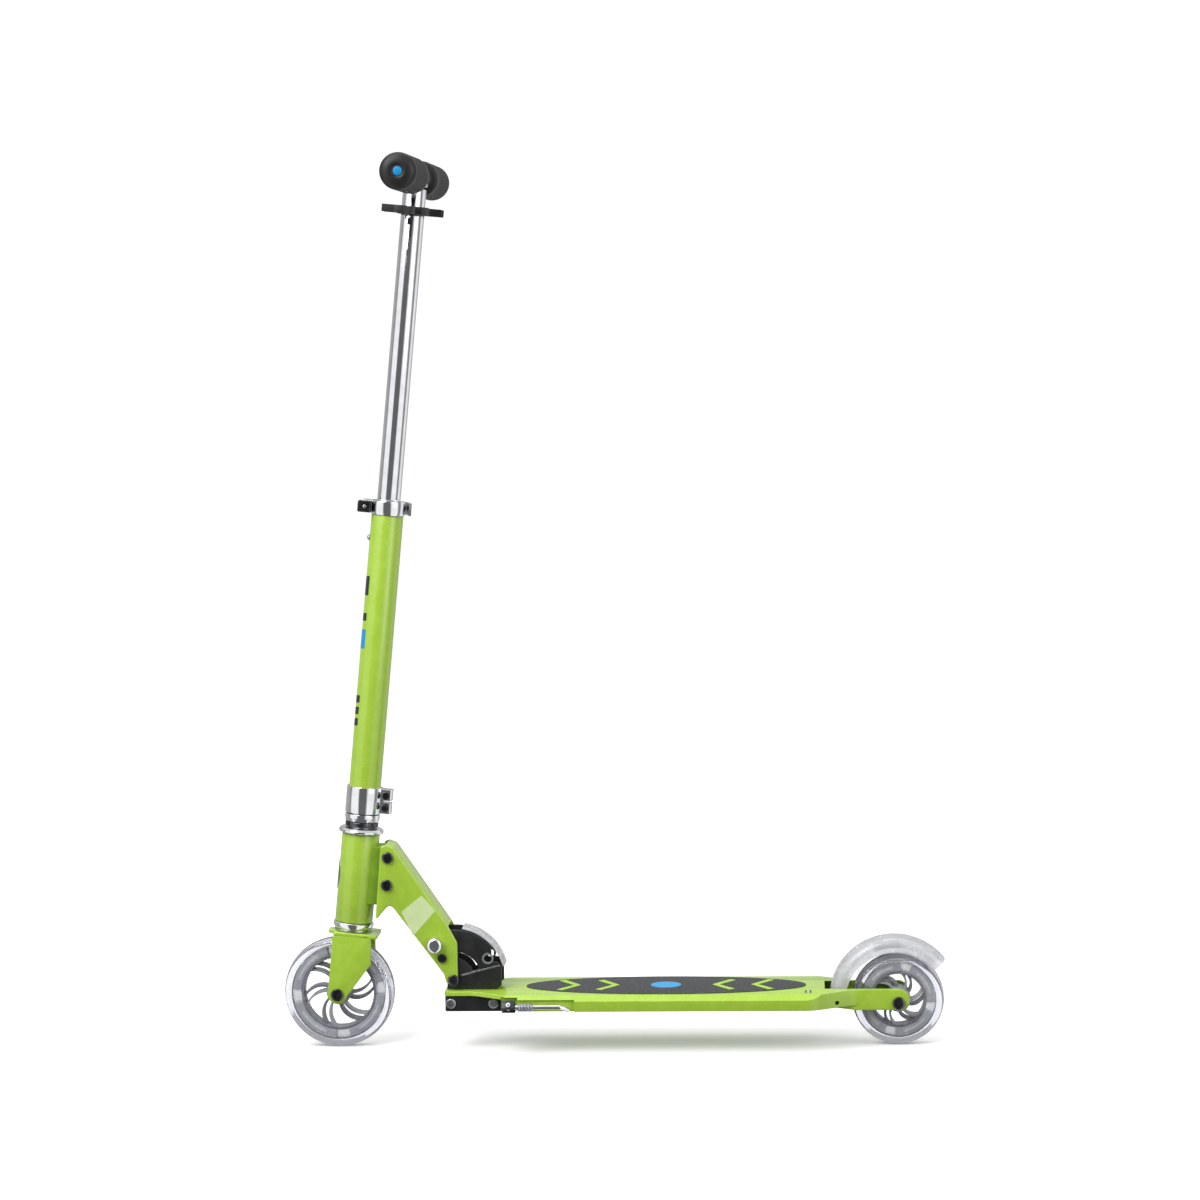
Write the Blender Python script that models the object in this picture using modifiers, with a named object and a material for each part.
"""A child's folding kick scooter: aluminium deck, folding steel neck, telescopic T bar.

Metres, +Z up, the front wheel towards -X and the rider's left towards -Y. The origin is on the
ground, under the middle of the whole scooter. Every X below is measured from the front axle, and
the column's pieces are measured along the steering axis, from the point of it at axle height.
"""

import math

import bmesh
import bpy
from mathutils import Vector

GAP = 0.0003                      # between two pieces that touch
COLLECTION = "kick_scooter"

# Wheels and wheelbase
FRONT_WHEEL_R = 0.0600
REAR_WHEEL_R = 0.0495
WHEELBASE = 0.6060
WHEEL_WIDTH = 0.0240
TYRE_DEPTH = 0.0095               # of the clear tyre, rim to tread
RIM_DEPTH = 0.0125                # of the core's solid band
HUB_R = 0.0135
BEARING_R = 0.0110
BEARING_WIDTH = 0.0070
AXLE_R = 0.0040
BOLT_HEAD_R = 0.0066
BOLT_HEAD_HEIGHT = 0.0038

# Fork and steering column, along the steering axis
TILT = math.radians(6.0)
STEER_OFFSET = 0.0087             # the axis passes this far behind the front axle
BLADE_THICKNESS = 0.0055
BLADE_GAP = 0.0345                # between the two blades
CROWN_BOTTOM = 0.0628
CROWN_THICKNESS = 0.0045
STEERER_R = 0.0143
STEERER_BORE_R = 0.0130
HEAD_TUBE_R = 0.0205
HEAD_TUBE_BORE_R = 0.0178
HEAD_TUBE_BOTTOM = 0.0777
HEAD_TUBE_LENGTH = 0.0963
CUP_HEIGHT = 0.0072
CUP_DEPTH = 0.0060                # pressed into the head tube
UPPER_CUP_R = 0.0245
LOWER_CUP_R = 0.0220
CONE_HEIGHT = 0.0058
LOCKNUT_HEIGHT = 0.0082
LOCKNUT_R = 0.0190
CLAMP_R = 0.0195
CLAMP_HEIGHT = 0.0290
CLAMP_EAR_REACH = 0.0310
CLAMP_EAR_WIDTH = 0.0130
CLAMP_SLIT = 0.0020
OUTER_TUBE_R = 0.0173
OUTER_TUBE_LENGTH = 0.3230
NECKED_R = 0.0160                 # the tube's turned-down top, inside the collar
COLLAR_R = 0.0185
COLLAR_HEIGHT = 0.0155
COLLAR_EAR_REACH = 0.0300
COLLAR_EAR_WIDTH = 0.0130
CLAMP_BOLT_R = 0.0022
CLAMP_BOLT_REACH = 0.0245         # from the axis to the clamp's two bolts
QR_BOLT_R = 0.0022
QR_NUT_HALF = 0.0078
QR_NUT_HEIGHT = 0.0080
QR_REACH = 0.0240                 # from the axis to the quick-release bolt
QR_CAM_R = 0.0050
LEVER_LIFT = 0.0045               # of the lever's middle over the collar
BUSHING_LENGTH = 0.0100            # above the height button

# T bar and grips
INNER_TUBE_R = 0.0127
INNER_TUBE_WALL = 0.0015
INNER_TUBE_LENGTH = 0.4400        # up to the middle of the handlebar
BAR_HEIGHT = 0.8835               # of the handlebar's centre, along the steering axis
BAR_HALF_WIDTH = 0.1700
SLEEVE_R = 0.0138
SLEEVE_HALF_LENGTH = 0.0420
GRIP_R = 0.0195
GRIP_TUBE_R = 0.0111
GRIP_TUBE_WALL = 0.0015
CLIP_DROP = 0.0355                # of the grip clip's middle below the handlebar
CLIP_THICKNESS = 0.0090
HEIGHT_BUTTON_LEVEL = 0.4955
HEIGHT_BUTTON_R = 0.0032
GRIP_BUTTON_R = 0.0030
GRIP_BUTTON_Y = 0.0290            # along the sleeve from its middle
JAW_GAP = 0.0052                  # between the stem and a clipped grip tube

# Folding neck, about its pivot
PIVOT_X = 0.1266
PIVOT_Z = 0.0754
FOLD_ANGLE = math.radians(85.0)
NECK_WIDTH = 0.0440
NECK_WALL = 0.0035
LUG_WIDTH = 0.0300
NECK_BOLTS = ((0.0578, 0.2095), (0.0562, 0.1795))
NECK_BOLT_R = 0.0030
LOCK_PIN_R = 0.0036
LOCK_RADIUS = 0.0435
LOCK_ANGLE = math.radians(116.0)
GUIDE_RADIUS = 0.0266
PLATE_R = 0.0540
PLATE_THICKNESS = 0.0030
PIVOT_BOLT_R = 0.0040
GUIDE_BOLT_R = 0.0030
GUARD_THICKNESS = 0.0022
GUARD_WIDTH = 0.0300
GUARD_LIFT = 0.0017               # of its middle over the plates' rim
GUARD_FIRST = 14                  # degrees round the pivot
GUARD_LAST = 80

# Deck
DECK_TOP = 0.0640
DECK_BOTTOM = 0.0467
DECK_HALF_WIDTH = 0.0560
DECK_FRONT = 0.1170
DECK_NOSE_HALF_WIDTH = 0.0290
DECK_WIDE_FROM = 0.1900
DECK_WIDE_TO = WHEELBASE - 0.0910
DECK_REAR = WHEELBASE - 0.0610
SLOT_FRONT = WHEELBASE - 0.0790    # of the opening for the rear wheel and fender
DECK_SKIN = 0.0035
DECK_EDGE = 0.0060                # width of the sloped edge along the top
ARM_END_R = 0.0112
ARM_GAP = 0.0440                  # between the arms, across the rear wheel
ARM_THICKNESS = 0.0060
BLOCK_TOP = 0.0590
BLOCK_BOTTOM = 0.0417
BLOCK_REAR = 0.1790
BLOCK_HALF_WIDTH = 0.0265
BLOCK_BOLT_R = 0.0030
MAT_FRONT = 0.2040
MAT_REAR = DECK_WIDE_TO - 0.0080
MAT_HALF_WIDTH = 0.0475
MAT_THICKNESS = 0.0008

# Rear fender brake
FENDER_R = 0.0704
FENDER_HALF_WIDTH = 0.0190
FENDER_THICKNESS = 0.0022
FENDER_X = WHEELBASE - 0.0039     # the middle of its curve
FENDER_Z = 0.0485
FENDER_PIVOT_X = WHEELBASE - 0.0660
FENDER_PIVOT_Z = 0.0520
FENDER_FRONT = 182                # degrees round the wheel from its rear horizontal
FENDER_TAIL = 0.0510              # of the tail's tip behind the rear axle
FENDER_PIN_R = 0.0020
SHOE_CLEARANCE = 0.0070           # of the brake shoe over the tread

# Kickstand
STAND_X = 0.1890
STAND_Y = -0.0605
STAND_Z = 0.0528
STAND_ROD_R = 0.0026
STAND_REACH = 0.0640
STAND_PIN_R = 0.0018
STAND_RISE = 0.0062               # of the leg's bent-up tip
STAND_TILT = math.radians(53.13)  # of its pivot axis from straight down towards +Y

FRONT_AXLE_X = -(WHEELBASE + FENDER_TAIL - FRONT_WHEEL_R) / 2

# name: (colour, roughness, metallic)
FINISHES = {
    "lime_paint": ((0.38, 0.62, 0.04, 1), 0.35, 0.0),
    "lime_aluminium": ((0.38, 0.62, 0.04, 1), 0.35, 0.0),
    "chrome": ((0.80, 0.80, 0.82, 1), 0.08, 1.0),
    "steel": ((0.62, 0.62, 0.64, 1), 0.30, 1.0),
    "black_steel": ((0.015, 0.015, 0.017, 1), 0.45, 0.0),
    "black_rubber": ((0.012, 0.012, 0.013, 1), 0.80, 0.0),
    "black_plastic": ((0.015, 0.015, 0.016, 1), 0.50, 0.0),
    "clear_polyurethane": ((0.75, 0.76, 0.80, 1), 0.20, 0.0),
    "clear_plastic": ((0.80, 0.80, 0.84, 1), 0.25, 0.0),
    "grey_core": ((0.35, 0.36, 0.40, 1), 0.40, 0.0),
    "nylon": ((0.80, 0.80, 0.78, 1), 0.55, 0.0),
}


def clear_scene():
    for obj in list(bpy.data.objects):
        bpy.data.objects.remove(obj, do_unlink=True)


def new_collection(name):
    collection = bpy.data.collections.new(name)
    bpy.context.scene.collection.children.link(collection)
    return collection


def new_material(name):
    color, roughness, metallic = FINISHES[name]
    material = bpy.data.materials.new(name)
    material.use_nodes = True
    shader = material.node_tree.nodes["Principled BSDF"]
    shader.inputs["Base Color"].default_value = color
    shader.inputs["Roughness"].default_value = roughness
    shader.inputs["Metallic"].default_value = metallic
    return material


clear_scene()
PARTS = new_collection(COLLECTION)
CUTTERS = new_collection("cutters")
CUTTERS.hide_render = True
MATERIALS = {finish: new_material(finish) for finish in FINISHES}


def new_empty(name, location=(0, 0, 0), rotation=(0, 0, 0), parent=None):
    empty = bpy.data.objects.new(name, None)
    PARTS.objects.link(empty)
    empty.location = location
    empty.rotation_euler = rotation
    empty.parent = parent
    return empty


def place(name, mesh, finish, parent, location=(0, 0, 0), rotation=(0, 0, 0)):
    """An object of the mesh in its parent's frame. Without a finish it is a cutter."""
    obj = bpy.data.objects.new(name, mesh)
    obj.location = location
    obj.rotation_euler = rotation
    obj.parent = parent
    if finish is None:
        CUTTERS.objects.link(obj)
        obj.hide_render = True
        obj.display_type = "WIRE"
    else:
        PARTS.objects.link(obj)
        mesh.materials.append(MATERIALS[finish])
    return obj


def soften(mesh):
    """Round pieces are shaded smooth up to their edges."""
    mesh.shade_smooth()
    mesh.set_sharp_from_angle(angle=math.radians(35))


def mesh_of(name, shape):
    mesh = bpy.data.meshes.new(name)
    shape.to_mesh(mesh)
    shape.free()
    soften(mesh)
    return mesh


def turned(name, profile, finish, parent, location=(0, 0, 0), rotation=(0, 0, 0), steps=28):
    """A solid turned about its own Z: (radius, height) down the outer side, and up any bore."""
    mesh = bpy.data.meshes.new(name)
    links = [(i, i + 1) for i in range(len(profile) - 1)]
    if min(radius for radius, _ in profile) > 0:
        links.append((len(profile) - 1, 0))
    mesh.from_pydata([(radius, 0, height) for radius, height in profile], links, [])
    obj = place(name, mesh, finish, parent, location, rotation)
    screw = obj.modifiers.new("turn", "SCREW")
    screw.steps = screw.render_steps = steps
    screw.use_merge_vertices = True
    screw.merge_threshold = 0.00001
    screw.use_smooth_shade = True
    return obj


def ring(outer, inner, low, high, edge=0.0):
    """The profile of a plain ring, with its outer edges broken by edge."""
    if edge:
        return [(outer - edge, high), (outer, high - edge), (outer, low + edge),
                (outer - edge, low), (inner, low), (inner, high)]
    return [(outer, high), (outer, low), (inner, low), (inner, high)]


def rod(radius, low, high, edge=0.0):
    """The profile of a solid bar."""
    if edge:
        return [(0, high), (radius - edge, high), (radius, high - edge),
                (radius, low + edge), (radius - edge, low), (0, low)]
    return [(0, high), (radius, high), (radius, low), (0, low)]


def bolt_profile(shank_r, head_r, head_height, half_grip, edge=0.0008):
    """A bolt and its nut on the far side as one turned piece, about its middle."""
    top = half_grip + head_height
    return [(0, top), (head_r - edge, top), (head_r, top - edge), (head_r, half_grip),
            (shank_r, half_grip), (shank_r, -half_grip), (head_r, -half_grip),
            (head_r, edge - top), (head_r - edge, -top), (0, -top)]


ALONG_Y = (math.pi / 2, 0, 0)


def box(name, low, high, finish=None, parent=None):
    shape = bmesh.new()
    bmesh.ops.create_cube(shape, size=1.0)
    low, high = Vector(low), Vector(high)
    size = high - low
    bmesh.ops.scale(shape, vec=size, verts=shape.verts)
    bmesh.ops.translate(shape, vec=(low + high) / 2, verts=shape.verts)
    return place(name, mesh_of(name, shape), finish, parent)


def arc(centre, radius, start, end, steps):
    """Points on an arc, from one angle in degrees to another."""
    points = []
    for i in range(steps + 1):
        angle = math.radians(start + (end - start) * i / steps)
        points.append((centre[0] + radius * math.cos(angle), centre[1] + radius * math.sin(angle)))
    return points


def rounded(corners, steps=4):
    """The outline through (x, y, radius) corners, each rounded to its radius."""
    points = []
    for i, (x, y, radius) in enumerate(corners):
        here = Vector((x, y))
        before = Vector(corners[i - 1][:2]) - here
        after = Vector(corners[(i + 1) % len(corners)][:2]) - here
        if radius == 0:
            points.append((x, y))
            continue
        half = before.angle(after) / 2
        reach = min(radius / math.tan(half), 0.49 * before.length, 0.49 * after.length)
        start, end = here + before.normalized() * reach, here + after.normalized() * reach
        for k in range(steps + 1):
            t = k / steps
            points.append(tuple((1 - t) ** 2 * start + 2 * t * (1 - t) * here + t * t * end))
    return points


def ribbon(path, width):
    """The closed outline of a strip of the given width along a path."""
    left, right = [], []
    for i, point in enumerate(path):
        ahead = Vector(path[min(i + 1, len(path) - 1)]) - Vector(path[max(i - 1, 0)])
        side = Vector((-ahead.y, ahead.x)).normalized() * width / 2
        left.append(tuple(Vector(point) + side))
        right.append(tuple(Vector(point) - side))
    return left + right[::-1]


def mesh_of_curve(name, curve):
    """The curve's filled or round solid as a closed mesh. The curve is used up."""
    drawn = bpy.data.objects.new(name + "_curve", curve)
    CUTTERS.objects.link(drawn)
    graph = bpy.context.evaluated_depsgraph_get()
    mesh = bpy.data.meshes.new_from_object(drawn.evaluated_get(graph))
    bpy.data.objects.remove(drawn, do_unlink=True)
    bpy.data.curves.remove(curve)
    shape = bmesh.new()
    shape.from_mesh(mesh)
    bpy.data.meshes.remove(mesh)
    bmesh.ops.remove_doubles(shape, verts=shape.verts, dist=0.00001)
    bmesh.ops.recalc_face_normals(shape, faces=shape.faces)
    return mesh_of(name, shape)


def plate(name, outline, thickness, finish, parent, location=(0, 0, 0), rotation=(0, 0, 0),
          holes=(), edge=0.0):
    """A flat outline with its holes, as a filled 2D curve extruded and made a mesh."""
    curve = bpy.data.curves.new(name, "CURVE")
    curve.dimensions = "2D"
    curve.fill_mode = "BOTH"
    curve.extrude = thickness / 2 - edge
    curve.bevel_depth = edge
    curve.bevel_resolution = 0
    for points in (outline, *holes):
        spline = curve.splines.new("POLY")
        spline.points.add(len(points) - 1)
        for point, (x, y) in zip(spline.points, points):
            point.co = (x, y, 0, 1)
        spline.use_cyclic_u = True
    return place(name, mesh_of_curve(name, curve), finish, parent, location, rotation)


def side_plate(name, outline, middle_y, thickness, finish, parent, holes=(), edge=0.0):
    """A plate seen from the side: its outline is (x, z) and its thickness runs along Y."""
    return plate(name, outline, thickness, finish, parent, (0, middle_y, 0), ALONG_Y, holes, edge)


def wire(name, points, radius, finish, parent):
    """A round bar through the points, as a bevelled curve made a mesh."""
    curve = bpy.data.curves.new(name, "CURVE")
    curve.dimensions = "3D"
    curve.bevel_depth = radius
    curve.bevel_resolution = 2
    curve.use_fill_caps = True
    spline = curve.splines.new("POLY")
    spline.points.add(len(points) - 1)
    for point, place_at in zip(spline.points, points):
        point.co = (*place_at, 1)
    return place(name, mesh_of_curve(name, curve), finish, parent)


def polar(radius, angle):
    return (radius * math.cos(angle), radius * math.sin(angle))


def boolean(obj, other, operation):
    modifier = obj.modifiers.new(operation.lower(), "BOOLEAN")
    modifier.operation = operation
    modifier.solver = "EXACT"
    modifier.object = other


def cut(obj, *cutters):
    for cutter in cutters:
        boolean(obj, cutter, "DIFFERENCE")


def join(obj, *others):
    for other in others:
        boolean(obj, other, "UNION")


def bore(name, radius, length, parent, location, rotation=ALONG_Y, steps=14):
    """A round cutter, centred on its own middle."""
    return turned(name, rod(radius, -length / 2, length / 2), None, parent, location, rotation,
                  steps)


# Frames: the front axle's ground point, the steering axis, the fold's pivot and the rear axle
ORIGIN = new_empty("origin_frame", (FRONT_AXLE_X, 0, 0))
STEERING = new_empty("steering_frame", (STEER_OFFSET, 0, FRONT_WHEEL_R), (0, TILT, 0), ORIGIN)
FRONT_HUB = new_empty("front_hub_frame", (0, 0, FRONT_WHEEL_R), ALONG_Y, ORIGIN)
REAR_HUB = new_empty("rear_hub_frame", (WHEELBASE, 0, REAR_WHEEL_R), ALONG_Y, ORIGIN)
PIVOT = new_empty("pivot_frame", (PIVOT_X, 0, PIVOT_Z), ALONG_Y, ORIGIN)
HANDLEBAR = new_empty("handlebar_frame", (0, 0, BAR_HEIGHT), (0, 0, 0), STEERING)

HEAD_TUBE_TOP = HEAD_TUBE_BOTTOM + HEAD_TUBE_LENGTH
CONE_BOTTOM = HEAD_TUBE_TOP + CUP_HEIGHT + 2 * GAP
LOCKNUT_BOTTOM = CONE_BOTTOM + CONE_HEIGHT + GAP
CLAMP_BOTTOM = LOCKNUT_BOTTOM + LOCKNUT_HEIGHT + 0.0010
CLAMP_TOP = CLAMP_BOTTOM + CLAMP_HEIGHT
OUTER_TUBE_BOTTOM = CLAMP_BOTTOM + 0.0010
OUTER_TUBE_TOP = OUTER_TUBE_BOTTOM + OUTER_TUBE_LENGTH
COLLAR_BOTTOM = OUTER_TUBE_TOP + GAP
COLLAR_TOP = COLLAR_BOTTOM + COLLAR_HEIGHT
BLADE_Y = (BLADE_GAP + BLADE_THICKNESS) / 2
OUTER_BORE_R = STEERER_R + GAP
QR_CAM_Y = COLLAR_EAR_WIDTH / 2 + 0.0010
JAW_Y = INNER_TUBE_R + GRIP_TUBE_R + JAW_GAP
PLATE_Y = NECK_WIDTH / 2 - NECK_WALL - 0.0006 - PLATE_THICKNESS / 2
ARM_ROOT = WHEELBASE - 0.0860      # where the arms start inside the deck
ARM_END = WHEELBASE + 0.0005       # the middle of the arms' round ends
ARM_BOTTOM = DECK_TOP - 2 * ARM_END_R
SHOE_R = REAR_WHEEL_R + SHOE_CLEARANCE


def build_wheel(which, radius, hub):
    """A clear tyre on a spoked core, two bearings and the spacer between them."""
    core_r = radius - TYRE_DEPTH
    half = WHEEL_WIDTH / 2
    tread = [(radius - 0.0062, half - 0.0006), (radius - 0.0022, half - 0.0042),
             (radius, 0.0032), (radius, -0.0032), (radius - 0.0022, 0.0042 - half),
             (radius - 0.0062, 0.0006 - half)]
    inner = core_r + GAP
    turned(which + "_tyre", tread + [(inner, 0.0020 - half), (inner, half - 0.0020)],
           "clear_polyurethane", hub, steps=40)
    rim = core_r - RIM_DEPTH
    windows = []
    for i in range(6):
        start = 60 * i
        outside = arc((0, 0), rim, start + 8, start + 50, 5)
        inside = arc((0, 0), HUB_R + 0.0025, start + 62, start + 22, 3)
        windows.append(outside + inside)
    core = plate(which + "_core", arc((0, 0), core_r, 0, 351, 39), WHEEL_WIDTH - 0.0040,
                 "grey_core", hub, holes=windows)
    seat = BEARING_R + GAP / 3
    depth = BEARING_WIDTH + GAP
    face = WHEEL_WIDTH / 2 - 0.0020
    for side in (-1, 1):
        cut(core, bore(f"{which}_seat{side}", seat, depth * 2, hub, (0, 0, side * face), (0, 0, 0),
                       18))
        turned(f"{which}_bearing_{'right' if side < 0 else 'left'}",
               ring(BEARING_R, AXLE_R + GAP / 2, -BEARING_WIDTH / 2, BEARING_WIDTH / 2),
               "steel", hub, (0, 0, side * (face - BEARING_WIDTH / 2)), steps=18)
    cut(core, bore(which + "_bore", BEARING_R - 0.0020, WHEEL_WIDTH, hub, (0, 0, 0), (0, 0, 0)))
    reach = face - BEARING_WIDTH - GAP
    turned(which + "_bearing_spacer", ring(AXLE_R + 0.0022, AXLE_R + GAP / 2, -reach, reach),
           "steel", hub, steps=12)


def build_axle(which, hub, half_grip):
    turned(which + "_axle_bolt",
           bolt_profile(AXLE_R, BOLT_HEAD_R, BOLT_HEAD_HEIGHT, half_grip + GAP), "black_steel", hub,
           steps=16)


def build_fork():
    """The steerer, crown and two blades, welded into one piece."""
    fork = turned("fork", rod(STEERER_R, CROWN_BOTTOM + 0.0020, CLAMP_TOP - 0.0020), "lime_paint",
                  STEERING)
    width = BLADE_GAP + 2 * BLADE_THICKNESS
    crown = plate("crown", rounded([(-0.0260, -width / 2, 0.004), (0.0290, -width / 2, 0.004),
                                    (0.0290, width / 2, 0.004), (-0.0260, width / 2, 0.004)]),
                  CROWN_THICKNESS, None, STEERING, (0, 0, CROWN_BOTTOM + CROWN_THICKNESS / 2))
    join(fork, crown)
    end = 0.0105
    lower = [(x, z + FRONT_WHEEL_R) for x, z in arc((0, 0), end, 180, 345, 8)]
    top = FRONT_WHEEL_R + CROWN_BOTTOM + 0.0015
    outline = lower + [(0.0375, 0.0930), (0.0375, top), (-0.0040, top)]
    for side in (-1, 1):
        blade = side_plate(f"blade{side}", outline, side * BLADE_Y, BLADE_THICKNESS, None, ORIGIN)
        join(fork, blade)
    cut(fork, bore("steerer_bore", STEERER_BORE_R, 0.4, STEERING, (0, 0, CLAMP_TOP), (0, 0, 0), 28),
        bore("axle_hole", AXLE_R + GAP, 0.1, FRONT_HUB, (0, 0, 0), (0, 0, 0)))


def build_headset():
    """Head tube with its lug, pressed cups, bearings and the threaded cone with its locknut."""
    low, high = HEAD_TUBE_BOTTOM, HEAD_TUBE_TOP
    tube = turned("head_tube", rod(HEAD_TUBE_R, low, high), "lime_paint", STEERING)
    lug = side_plate("lug", [(0.0250, 0.2210), (0.0570, 0.2210), (0.0670, 0.2060),
                             (0.0670, 0.1720), (0.0450, 0.1560), (0.0250, 0.1560)],
                     0, LUG_WIDTH, None, ORIGIN)
    join(tube, lug)
    cut(tube, bore("head_bore", HEAD_TUBE_BORE_R, HEAD_TUBE_LENGTH * 2, STEERING,
                   (0, 0, (low + high) / 2), (0, 0, 0), 28))
    for x, z in NECK_BOLTS:
        cut(tube, bore("lug_hole", NECK_BOLT_R + GAP, 0.1, ORIGIN, (x, 0, z)))
    seat = HEAD_TUBE_BORE_R - GAP
    race = STEERER_R + GAP
    turned("upper_cup", [(seat + 0.0020, high + GAP + CUP_HEIGHT), (UPPER_CUP_R, high + 0.0042),
                         (UPPER_CUP_R, high + 0.0012), (seat + 0.0030, high + GAP), (seat, high + GAP),
                         (seat, high - CUP_DEPTH), (race, high - CUP_DEPTH),
                         (race, high - 0.0030), (seat - 0.0012, high - 0.0030),
                         (seat - 0.0012, high + GAP + CUP_HEIGHT)], "chrome", STEERING)
    turned("upper_bearing", ring(seat - 0.0015, race, high - 0.0027, high + 0.0040), "steel",
           STEERING, steps=24)
    crown = CROWN_BOTTOM + CROWN_THICKNESS
    turned("crown_race", ring(LOWER_CUP_R - 0.0020, race, crown + GAP, crown + 0.0028, 0.0006),
           "chrome", STEERING)
    turned("lower_cup", [(seat, low + CUP_DEPTH), (seat, low - GAP), (LOWER_CUP_R, low - GAP),
                         (LOWER_CUP_R, low - 0.0040), (LOWER_CUP_R - 0.0016, crown + 0.0031),
                         (seat - 0.0012, crown + 0.0031), (seat - 0.0012, low + 0.0030),
                         (race, low + 0.0030), (race, low + CUP_DEPTH)], "chrome", STEERING)
    turned("lower_bearing", ring(seat - 0.0015, race, crown + 0.0031, low + 0.0027), "steel",
           STEERING, steps=24)
    turned("headset_cone", ring(LOCKNUT_R - 0.0010, race, CONE_BOTTOM, CONE_BOTTOM + CONE_HEIGHT,
                                0.0010), "chrome", STEERING)
    turned("headset_locknut", ring(LOCKNUT_R, race, LOCKNUT_BOTTOM,
                                   LOCKNUT_BOTTOM + LOCKNUT_HEIGHT, 0.0008), "chrome", STEERING)


def build_lower_clamp():
    """The double clamp that grips the outer tube on the steerer, slit between its rear ears."""
    middle = (CLAMP_BOTTOM + CLAMP_TOP) / 2
    clamp = turned("lower_clamp", rod(CLAMP_R, CLAMP_BOTTOM, CLAMP_TOP, 0.0008), "chrome", STEERING)
    half = CLAMP_EAR_WIDTH / 2
    join(clamp, box("ears", (0.005, -half, CLAMP_BOTTOM + 0.0010),
                    (CLAMP_EAR_REACH, half, CLAMP_TOP - 0.0010), None, STEERING))
    cut(clamp, bore("clamp_bore", OUTER_TUBE_R + GAP, 0.1, STEERING, (0, 0, middle), (0, 0, 0), 28),
        box("slit", (0, -CLAMP_SLIT / 2, CLAMP_BOTTOM - 0.01),
            (CLAMP_EAR_REACH + 0.01, CLAMP_SLIT / 2, CLAMP_TOP + 0.01), None, STEERING))
    for name, level in (("lower", -0.0068), ("upper", 0.0068)):
        spot = (CLAMP_BOLT_REACH, 0, middle + level)
        cut(clamp, bore("clamp_hole_" + name, CLAMP_BOLT_R + GAP, 0.1, STEERING, spot))
        turned("clamp_bolt_" + name, bolt_profile(CLAMP_BOLT_R, 0.0044, 0.0030, half + GAP),
               "black_steel", STEERING, spot, ALONG_Y, 12)


def build_outer_tube():
    """The lower column, turned down and slit under the quick-release collar."""
    tube = turned("outer_tube", [(NECKED_R, COLLAR_TOP - 0.0020), (NECKED_R, OUTER_TUBE_TOP),
                                 (OUTER_TUBE_R, OUTER_TUBE_TOP), (OUTER_TUBE_R, OUTER_TUBE_BOTTOM),
                                 (OUTER_BORE_R, OUTER_TUBE_BOTTOM),
                                 (OUTER_BORE_R, COLLAR_TOP - 0.0020)], "lime_aluminium", STEERING)
    cut(tube, box("tube_slit", (-0.03, -0.0010, OUTER_TUBE_TOP - 0.0100),
                  (0, 0.0010, COLLAR_TOP), None, STEERING),
        bore("button_hole", HEIGHT_BUTTON_R + GAP, 0.02, STEERING,
             (-OUTER_TUBE_R, 0, HEIGHT_BUTTON_LEVEL), (0, math.pi / 2, 0), 16))
    top = OUTER_TUBE_TOP - 0.0120
    turned("tube_bushing", ring(OUTER_BORE_R - GAP, INNER_TUBE_R + GAP, top - BUSHING_LENGTH,
                                top), "nylon", STEERING)
    turned("height_button", [(0, 0.0028), (HEIGHT_BUTTON_R - 0.0012, 0.0024),
                             (HEIGHT_BUTTON_R, 0.0012), (HEIGHT_BUTTON_R, -0.0022),
                             (0, -0.0022)], "steel", STEERING,
           (-OUTER_TUBE_R, 0, HEIGHT_BUTTON_LEVEL), (0, -math.pi / 2, 0), 16)


def build_collar():
    """The quick-release collar, its bolt, and the cam lever that wraps round the far side."""
    middle = (COLLAR_BOTTOM + COLLAR_TOP) / 2
    half = COLLAR_EAR_WIDTH / 2
    collar = turned("qr_collar", rod(COLLAR_R, COLLAR_BOTTOM, COLLAR_TOP, 0.0008), "chrome", STEERING)
    join(collar, box("collar_ears", (-COLLAR_EAR_REACH, -half, COLLAR_BOTTOM + 0.0008),
                     (-0.005, half, COLLAR_TOP - 0.0008), None, STEERING))
    cut(collar, bore("collar_bore", NECKED_R + GAP, 0.1, STEERING, (0, 0, middle), (0, 0, 0), 28),
        box("collar_slit", (-COLLAR_EAR_REACH - 0.01, -0.0010, COLLAR_BOTTOM - 0.01),
            (0, 0.0010, COLLAR_TOP + 0.01), None, STEERING),
        bore("collar_hole", QR_BOLT_R + GAP, 0.1, STEERING, (-QR_REACH, 0, middle)))
    bolt = turned("qr_bolt", rod(QR_BOLT_R, -QR_CAM_Y, half + QR_NUT_HEIGHT + 0.0008), "black_steel",
                  STEERING, (-QR_REACH, 0, middle), ALONG_Y, 16)
    join(bolt, box("qr_nut", (-QR_REACH - QR_NUT_HALF, -half - QR_NUT_HEIGHT, middle - 0.0064),
                   (-QR_REACH + 0.0062, -half - GAP, middle + 0.0064), None, STEERING))
    cam = (-QR_REACH, QR_CAM_Y + QR_CAM_R + GAP)
    start, reach = 118, COLLAR_R + LEVER_LIFT
    wrap = [(cam[0] + QR_CAM_R, cam[1])] + arc((0, 0.0), reach, start - 12, 12, 9)
    strip = ribbon(wrap + [(reach + 0.0012, -0.0020)], 0.0030)
    lever = plate("qr_lever", strip, COLLAR_HEIGHT - 0.0010, "chrome", STEERING, (0, 0, middle))
    join(lever, turned("cam", rod(QR_CAM_R, -0.0068, 0.0068), None, STEERING,
                       (cam[0], cam[1], middle), steps=20))


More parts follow.
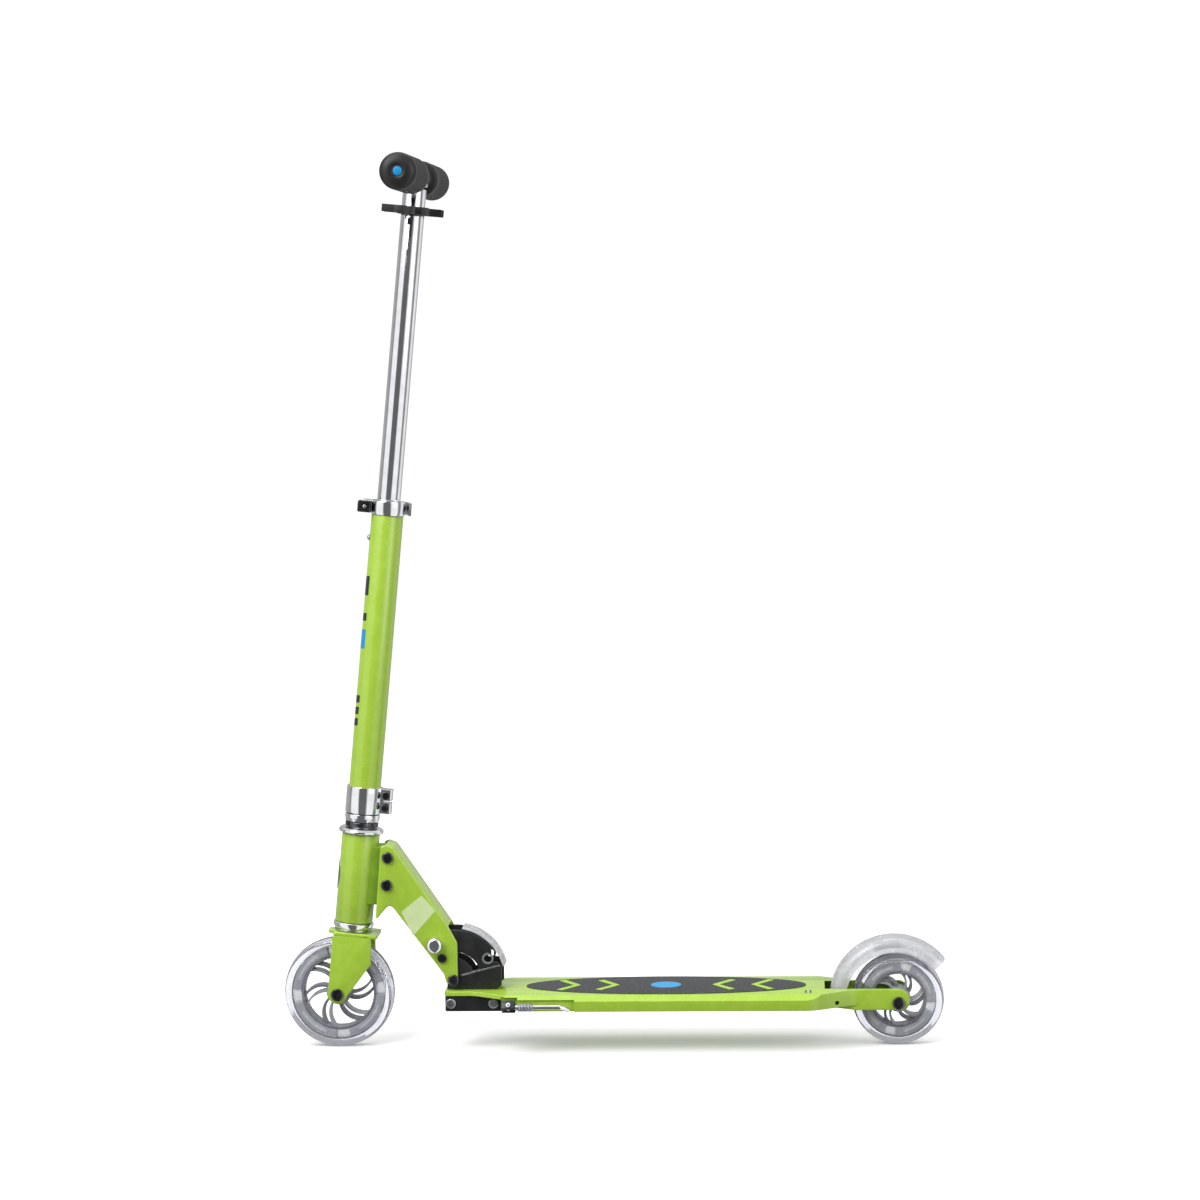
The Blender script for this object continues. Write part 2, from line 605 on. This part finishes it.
def build_t_bar():
    """The chrome inner tube with the cross sleeve that takes both grips."""
    bar = turned("t_bar", rod(INNER_TUBE_R, -INNER_TUBE_LENGTH, -0.0020), "chrome", HANDLEBAR)
    join(bar, turned("sleeve", rod(SLEEVE_R, -SLEEVE_HALF_LENGTH, SLEEVE_HALF_LENGTH), None,
                     HANDLEBAR, (0, 0, 0), ALONG_Y))
    cut(bar, bore("stem_bore", INNER_TUBE_R - INNER_TUBE_WALL, 2 * INNER_TUBE_LENGTH, HANDLEBAR,
                  (0, 0, -INNER_TUBE_LENGTH), (0, 0, 0), 28),
        bore("sleeve_bore", GRIP_TUBE_R + GAP, 0.2, HANDLEBAR, (0, 0, 0), ALONG_Y, 28))
    half = GRIP_BUTTON_R + GAP
    for side in (-1, 1):
        ends = sorted((side * GRIP_BUTTON_Y, side * (SLEEVE_HALF_LENGTH + 0.01)))
        cut(bar, bore(f"snap_hole{side}", half, 0.02, HANDLEBAR,
                      (-SLEEVE_R, side * GRIP_BUTTON_Y, 0), (0, -math.pi / 2, 0), 16),
            box(f"keyway{side}", (-0.03, ends[0], -half), (0.002 - GRIP_TUBE_R, ends[1], half), None,
                HANDLEBAR))


def build_grip_clip():
    """A plastic clip round the stem, with a jaw on each side for a folded grip's tube."""
    ring_r = INNER_TUBE_R + 0.0045
    clip = turned("grip_clip", rod(ring_r, -CLIP_THICKNESS / 2, CLIP_THICKNESS / 2, 0.0008),
                  "black_plastic", HANDLEBAR, (0, 0, -CLIP_DROP), (0, 0, 0), 28)
    jaw_r = GRIP_TUBE_R + 0.0018
    for side in (-1, 1):
        centre = (side * 0.0090, side * JAW_Y)
        facing = 180 if side < 0 else 0
        path = arc(centre, jaw_r, facing + 55, facing + 305, 14)
        lips = [(centre[0] + side * x, path[0 if keep else -1][1]) for x, keep in
                ((0.0200, True), (0.0200, False))]
        jaw = plate(f"jaw{side}", ribbon([lips[0]] + path + [lips[1]], 0.0032),
                    CLIP_THICKNESS - 0.0006, None, HANDLEBAR, (0, 0, -CLIP_DROP))
        arm = plate(f"arm{side}", [(-0.0120, side * 0.004), (0.0120, side * 0.004),
                                   (0.0120, side * (JAW_Y - jaw_r + 0.0008)),
                                   (-0.0120, side * (JAW_Y - jaw_r + 0.0008))],
                    CLIP_THICKNESS - 0.0010, None, HANDLEBAR, (0, 0, -CLIP_DROP))
        join(clip, arm, jaw)
    cut(clip, bore("clip_bore", INNER_TUBE_R + GAP, 0.1, HANDLEBAR, (0, 0, -CLIP_DROP), (0, 0, 0), 28))


def build_grip(side, hand):
    """A rubber grip, the tube that plugs it into the sleeve, and the tube's snap button."""
    start, end = SLEEVE_HALF_LENGTH + GAP, BAR_HALF_WIDTH
    turn = (-side * math.pi / 2, 0, 0)
    inner = GRIP_TUBE_R + GAP
    turned("grip_" + hand, [(0, end), (GRIP_R - 0.0040, end), (GRIP_R - 0.0010, end - 0.0018),
                            (GRIP_R, end - 0.0050), (GRIP_R - 0.0006, start + 0.0080),
                            (GRIP_R, start + 0.0030), (GRIP_R - 0.0020, start), (inner, start),
                            (inner, end - 0.0150), (0, end - 0.0150)], "black_rubber", HANDLEBAR,
           (0, 0, 0), turn, 28)
    tube = turned("grip_tube_" + hand, ring(GRIP_TUBE_R, GRIP_TUBE_R - GRIP_TUBE_WALL, 0.0150,
                                            end - 0.0150 - GAP), "chrome", HANDLEBAR, (0, 0, 0),
                  turn, 28)
    spot = (-SLEEVE_R, side * GRIP_BUTTON_Y, 0)
    cut(tube, bore("grip_hole_" + hand, GRIP_BUTTON_R + GAP, 0.02, HANDLEBAR, spot,
                   (0, -math.pi / 2, 0), 16))
    turned("grip_button_" + hand, [(0, 0.0012), (GRIP_BUTTON_R - 0.0010, 0.0009),
                                   (GRIP_BUTTON_R, 0), (GRIP_BUTTON_R, -0.0046), (0, -0.0046)],
           "steel", HANDLEBAR, spot, (0, -math.pi / 2, 0), 16)


def build_neck():
    """The folded steel channel that joins the head tube's lug to the deck's pivot."""
    outline = [(0.0437, 0.1435), (0.0592, 0.1578), (0.1165, 0.0815), (0.1185, 0.0720),
               (0.1266, 0.0672), (0.1316, 0.0710), (0.1316, 0.1160), (0.1210, 0.1356),
               (0.0640, 0.2200), (0.0560, 0.2235), (0.0500, 0.2215)]
    neck = side_plate("neck", outline, 0, NECK_WIDTH, "lime_paint", ORIGIN)
    inside = [(0.0300, 0.1300), (0.0600, 0.1000), (0.1100, 0.0500), (0.1500, 0.0500),
              (0.1500, 0.1350), (0.1178, 0.1335), (0.0610, 0.2175), (0.0480, 0.2300),
              (0.0300, 0.2300)]
    cut(neck, side_plate("channel", inside, 0, NECK_WIDTH - 2 * NECK_WALL, None, ORIGIN),
        bore("pivot_hole", PIVOT_BOLT_R + GAP, 0.1, PIVOT, (0, 0, 0), (0, 0, 0)))
    for name, (x, z) in zip(("upper", "lower"), NECK_BOLTS):
        cut(neck, bore("neck_hole_" + name, NECK_BOLT_R + GAP, 0.1, ORIGIN, (x, 0, z)))
        turned("neck_bolt_" + name, bolt_profile(NECK_BOLT_R, 0.0062, 0.0036, NECK_WIDTH / 2 + GAP),
               "black_steel", ORIGIN, (x, 0, z), ALONG_Y, 14)
    guide = polar(GUIDE_RADIUS, LOCK_ANGLE)
    lock = polar(LOCK_RADIUS, LOCK_ANGLE)
    cut(neck, bore("guide_hole", GUIDE_BOLT_R + GAP, 0.1, PIVOT, (*guide, 0), (0, 0, 0)),
        bore("lock_hole", LOCK_PIN_R + GAP, 0.1, PIVOT, (*lock, 0), (0, 0, 0)))
    turned("guide_bolt", bolt_profile(GUIDE_BOLT_R, 0.0050, 0.0030, NECK_WIDTH / 2 + GAP),
           "black_steel", PIVOT, (*guide, 0), (0, 0, 0), 14)
    near = NECK_WIDTH / 2
    turned("lock_knob", [(0, near + 0.0120), (0.0066, near + 0.0120), (0.0084, near + 0.0104),
                         (0.0084, near + 0.0036), (0.0074, near + 0.0020), (0.0074, near + GAP),
                         (LOCK_PIN_R, near + GAP), (LOCK_PIN_R, near - NECK_WALL + 0.0002),
                         (0, near - NECK_WALL + 0.0002)], "chrome", PIVOT, (*lock, 0), (0, 0, 0),
           24)


def build_fold_plates():
    """Two black plates on the deck's nose: a disc with the guide slot, and a gusset under it."""
    lock_degrees = math.degrees(LOCK_ANGLE)
    fold_degrees = math.degrees(FOLD_ANGLE)
    base = DECK_TOP + GAP - PIVOT_Z
    disc = arc((0, 0), PLATE_R, 40, 129, 14) + [
        (-0.0072, 0.0100), (-0.0072, base), (0.0470, base), (0.0520, base + 0.0050),
        (0.0520, 0.0130), (0.0480, 0.0185), (0.0415, 0.0190)]
    slot_r = GUIDE_BOLT_R + 0.0006
    past = math.degrees((GUIDE_BOLT_R + 0.0010) / GUIDE_RADIUS)
    first, last = lock_degrees + past, lock_degrees - fold_degrees - past
    slot = (arc((0, 0), GUIDE_RADIUS + slot_r, first, last, 10)
            + arc((0, 0), GUIDE_RADIUS - slot_r, last, first, 10))
    holes = [slot]
    for turn in (0, fold_degrees):
        centre = polar(LOCK_RADIUS, math.radians(lock_degrees - turn))
        holes.append(arc(centre, LOCK_PIN_R + GAP, 0, 330, 11))
    for side, name in ((-1, "right"), (1, "left")):
        wall = plate("fold_plate_" + name, disc, PLATE_THICKNESS, "black_steel", PIVOT,
                     (0, 0, side * PLATE_Y), (0, 0, 0), holes)
        cut(wall, bore("plate_hole_" + name, PIVOT_BOLT_R + GAP, 0.02, PIVOT,
                       (0, 0, side * PLATE_Y), (0, 0, 0)))
    turned("fold_pivot_bolt", bolt_profile(PIVOT_BOLT_R, 0.0062, 0.0034, NECK_WIDTH / 2 + GAP),
           "black_steel", PIVOT, steps=20)
    path = arc((0, 0), PLATE_R + GUARD_LIFT, GUARD_FIRST, GUARD_LAST, 12)
    plate("fold_guard", ribbon(path, GUARD_THICKNESS), GUARD_WIDTH, "clear_plastic", PIVOT)


def build_deck():
    """The extruded deck: ribbed underneath, a narrow nose and two arms beside the rear wheel."""
    nose, wide = DECK_NOSE_HALF_WIDTH, DECK_HALF_WIDTH
    arm = ARM_GAP / 2 + ARM_THICKNESS
    half = [(DECK_FRONT, nose - 0.0030, 0.0), (DECK_FRONT + 0.0030, nose, 0.0),
            (0.1500, nose, 0.0200), (DECK_WIDE_FROM, wide, 0.0300), (DECK_WIDE_TO, wide, 0.0300),
            (DECK_WIDE_TO + 0.0420, arm, 0.0300), (DECK_REAR + 0.0600, arm, 0.0)]
    corners = half + [(x, -y, r) for x, y, r in half[::-1]]
    height = DECK_TOP - DECK_BOTTOM
    deck = plate("deck", rounded(corners), height, "lime_aluminium", ORIGIN,
                 (0, 0, (DECK_TOP + DECK_BOTTOM) / 2))
    profile = [(ARM_ROOT, DECK_BOTTOM), (ARM_ROOT + 0.0400, ARM_BOTTOM), (ARM_END, ARM_BOTTOM)]
    profile += arc((ARM_END, DECK_TOP - ARM_END_R), ARM_END_R, -90, 90, 8)
    profile += [(ARM_ROOT, DECK_TOP)]
    inner = ARM_GAP / 2
    for side in (-1, 1):
        join(deck, side_plate(f"arm{side}", profile, side * (inner + ARM_THICKNESS / 2),
                              ARM_THICKNESS, None, ORIGIN))
    for side in (-1, 1):
        edge = box(f"edge{side}", (-0.4, -0.0100, 0), (0.4, 0.0100, 0.0200), None, ORIGIN)
        edge.location = ((DECK_WIDE_FROM + DECK_WIDE_TO) / 2, side * (wide - DECK_EDGE / 2),
                         DECK_TOP - DECK_EDGE / 2)
        edge.rotation_euler = (-side * math.radians(45), 0, 0)
        cut(deck, edge)
    cut(deck, box("wheel_slot", (SLOT_FRONT, -inner, 0), (ARM_END + 0.1, inner, 0.1), None, ORIGIN),
        box("arm_end_trim", (ARM_END, -0.1, 0), (ARM_END + 0.1, -inner - ARM_THICKNESS, 0.1), None, ORIGIN),
        box("block_recess", (0.1, -0.1, 0), (BLOCK_REAR + 0.0010, 0.1, BLOCK_TOP + GAP), None,
            ORIGIN),
        bore("rear_axle_hole", AXLE_R + GAP, 0.1, REAR_HUB, (0, 0, 0), (0, 0, 0)),
        bore("fender_hole", FENDER_PIN_R + GAP, 0.2, ORIGIN, (FENDER_PIVOT_X, 0, FENDER_PIVOT_Z)))
    cut(deck, box("stand_notch", (STAND_X - 0.0090, -0.1, 0),
                  (STAND_X + STAND_REACH + 0.0060, 0.0040 - wide, DECK_TOP - 0.0045), None, ORIGIN),
        box("bracket_notch", (STAND_X - 0.0090, -0.1, 0),
            (STAND_X + 0.0090, 0.0080 - wide, DECK_TOP - 0.0022), None, ORIGIN))
    rib = 0.0030
    bay = (2 * (wide - DECK_EDGE) - 2 * rib) / 3
    for i in range(3):
        low = -(wide - DECK_EDGE) + i * (bay + rib)
        cut(deck, box(f"bay{i}", (DECK_WIDE_FROM + 0.0120, low, 0),
                      (DECK_WIDE_TO - 0.0050, low + bay, DECK_TOP - DECK_SKIN), None, ORIGIN))


def build_deck_trim():
    """The grip mat, and the steel block under the nose with its two cross bolts."""
    middle = ((MAT_FRONT + MAT_REAR) / 2, 0, DECK_TOP + GAP / 3 + MAT_THICKNESS / 2)
    oval = [(x * (MAT_REAR - MAT_FRONT) / 2, y * MAT_HALF_WIDTH)
            for x, y in arc((0, 0), 1, 0, 352.5, 47)]
    plate("grip_mat", oval, MAT_THICKNESS, "black_rubber", ORIGIN, middle)
    block = box("base_block", (DECK_FRONT + 0.0005, -BLOCK_HALF_WIDTH, BLOCK_BOTTOM),
                (BLOCK_REAR, BLOCK_HALF_WIDTH, BLOCK_TOP), "black_steel", ORIGIN)
    for name, x in (("front", 0.1240), ("rear", 0.1700)):
        spot = (x, 0, (BLOCK_TOP + BLOCK_BOTTOM) / 2 + 0.0004)
        cut(block, bore("block_hole_" + name, BLOCK_BOLT_R + GAP, 0.1, ORIGIN, spot))
        turned("block_bolt_" + name, bolt_profile(BLOCK_BOLT_R, 0.0056, 0.0024, BLOCK_HALF_WIDTH + GAP),
               "steel", ORIGIN, spot, ALONG_Y, 14)


def build_fender():
    """The clear rear fender: a crowned sheet turned about the wheel, with a brake shoe under it."""
    centre = (FENDER_X, 0, FENDER_Z)
    half, thick = FENDER_HALF_WIDTH - FENDER_THICKNESS, FENDER_THICKNESS
    mid_r = FENDER_R - thick
    across = [(-half, -0.0150), (-half, -0.0080), (-half + 0.0030, -0.0030), (-0.0080, -0.0006),
              (0, 0), (0.0080, -0.0006), (half - 0.0030, -0.0030), (half, -0.0080),
              (half, -0.0150)]
    start = FENDER_FRONT
    end = math.degrees(math.acos((WHEELBASE + FENDER_TAIL - FENDER_X) / FENDER_R))
    mesh = bpy.data.meshes.new("fender")
    points = [(mid_r + drop, 0, y) for y, drop in across]
    mesh.from_pydata(points, [(i, i + 1) for i in range(len(points) - 1)], [])
    fender = place("fender", mesh, "clear_plastic", ORIGIN, centre,
                   (math.pi / 2, -math.radians(end), 0))
    screw = fender.modifiers.new("sweep", "SCREW")
    screw.angle = math.radians(start - end)
    screw.steps = screw.render_steps = 20
    screw.use_smooth_shade = True
    shell = fender.modifiers.new("shell", "SOLIDIFY")
    shell.thickness = thick
    shell.offset = -1.0
    shell.use_even_offset = True
    cut(fender, bore("fender_eye", FENDER_PIN_R + GAP, 0.2, ORIGIN,
                     (FENDER_PIVOT_X, 0, FENDER_PIVOT_Z)))
    pin_half = ARM_GAP / 2 + ARM_THICKNESS
    turned("fender_pin", rod(FENDER_PIN_R, -pin_half, pin_half), "steel", ORIGIN,
           (FENDER_PIVOT_X, 0, FENDER_PIVOT_Z), ALONG_Y, 16)
    shoe_r = FENDER_R - thick - 0.0013
    sweep = arc((0, 0), shoe_r, 84, 112, 5) + arc((0, 0), SHOE_R, 112, 84, 5)
    plate("brake_shoe", sweep, 0.0160, "steel", ORIGIN, centre, ALONG_Y)


def build_kickstand():
    """The side stand: a forked bracket, its pin, the sprung leg that swings out and down."""
    frame = new_empty("stand_frame", (STAND_X, STAND_Y, STAND_Z), (STAND_TILT + math.pi, 0, 0),
                      ORIGIN)
    eye_r, half = 0.0034, 0.0025
    inner, outer = half + GAP, half + 0.0032
    bracket = box("stand_bracket", (-0.0075, -0.0062, -outer), (0.0075, 0.0040, outer),
                  "black_steel", frame)
    cut(bracket, box("stand_slot", (-0.02, -eye_r - 0.0004, -inner), (0.02, 0.02, inner), None, frame),
        bore("stand_bore", STAND_PIN_R + GAP, 0.1, frame, (0, 0, 0), (0, 0, 0)))
    turned("stand_pin", bolt_profile(STAND_PIN_R, 0.0032, 0.0012, outer + GAP), "steel", frame,
           steps=14)
    rise = Vector((0, math.sin(STAND_TILT + math.pi), math.cos(STAND_TILT + math.pi))) * STAND_RISE
    knee = Vector((STAND_REACH - 0.0110, 0, 0))
    leg = wire("stand_leg", [(0.0020, 0, 0), (0.0200, 0, 0), tuple(knee),
                             tuple(knee + Vector((0.0060, 0, 0)) + rise * 0.6),
                             tuple(Vector((STAND_REACH, 0, 0)) + rise)], STAND_ROD_R, "chrome", frame)
    join(leg, turned("stand_eye", rod(eye_r, -half, half), None, frame, steps=18))
    cut(leg, bore("eye_bore", STAND_PIN_R + GAP, 0.02, frame, (0, 0, 0), (0, 0, 0), 14))
    turned("stand_spring", ring(0.0046, STAND_ROD_R + GAP, 0.0095, 0.0265), "steel", frame,
           (0, 0, 0), (0, math.pi / 2, 0), 20)


def main():
    build_wheel("front", FRONT_WHEEL_R, FRONT_HUB)
    build_wheel("rear", REAR_WHEEL_R, REAR_HUB)
    build_axle("front", FRONT_HUB, BLADE_GAP / 2 + BLADE_THICKNESS)
    build_axle("rear", REAR_HUB, ARM_GAP / 2 + ARM_THICKNESS)
    build_fork()
    build_headset()
    build_lower_clamp()
    build_outer_tube()
    build_collar()
    build_t_bar()
    build_grip_clip()
    for side, hand in ((-1, "left"), (1, "right")):
        build_grip(side, hand)
    build_neck()
    build_fold_plates()
    build_deck()
    build_deck_trim()
    build_fender()
    build_kickstand()


main()
